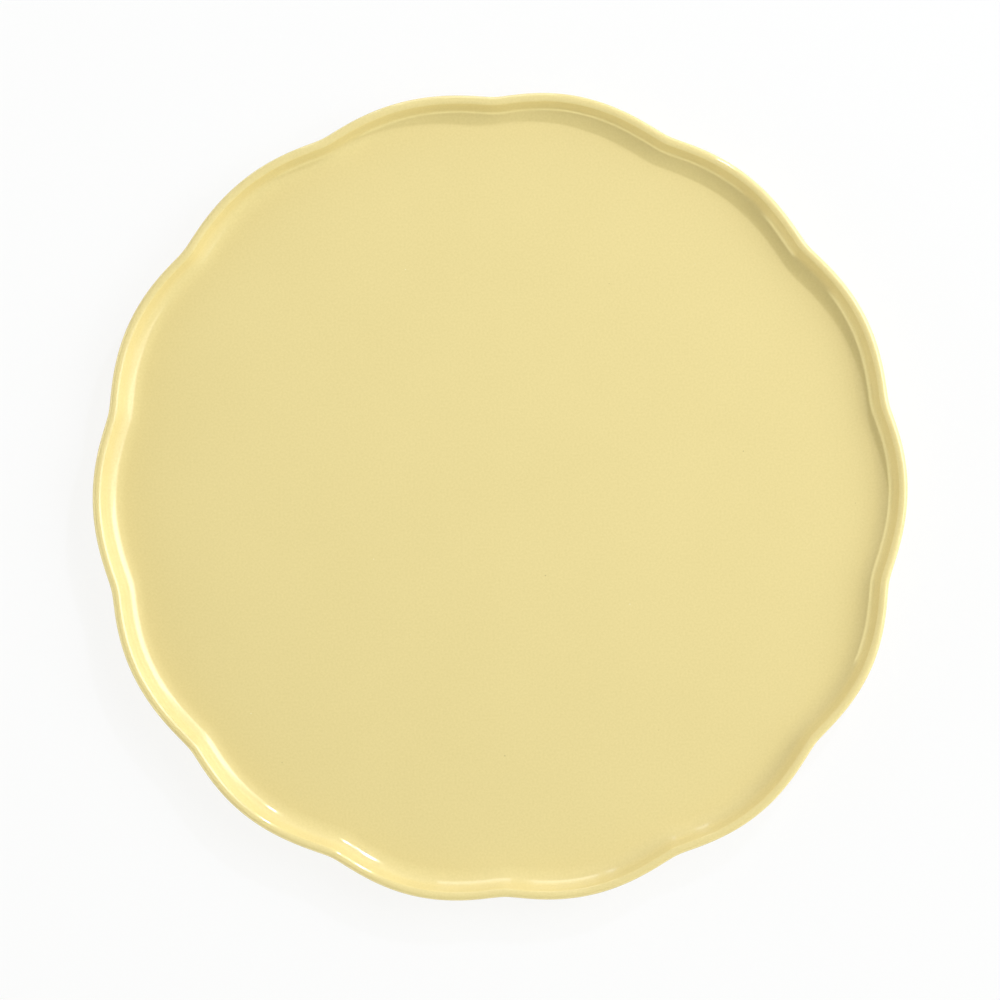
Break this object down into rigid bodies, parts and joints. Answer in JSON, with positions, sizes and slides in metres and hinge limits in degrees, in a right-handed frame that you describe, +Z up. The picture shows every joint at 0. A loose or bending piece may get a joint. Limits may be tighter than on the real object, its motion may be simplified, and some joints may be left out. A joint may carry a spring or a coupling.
{
  "type": "round serving platter",
  "caption": "Round glazed stoneware serving platter with a wide flat floor, a low upright scalloped rim with a rounded lip, and unglazed foot rings underneath.",
  "frame": {"origin": "centre of the plane that the platter stands on, under the middle of the floor", "axes": "+Z up out of the well, +X towards the crest of a scallop, +Y towards a valley between two scallops"},
  "size_m": [0.33, 0.3252, 0.018],
  "materials": {
    "bare_stoneware": "unglazed fired clay, dry and slightly sandy",
    "glaze": "glossy pale yellow glaze with fine grain and a few pinholes"
  },
  "bodies": {
    "root": {"stoneware_body": "bare_stoneware", "glaze_coat": "glaze", "foot_recess_glaze": "glaze", "centre_glaze": "glaze"}
  },
  "joints": []
}
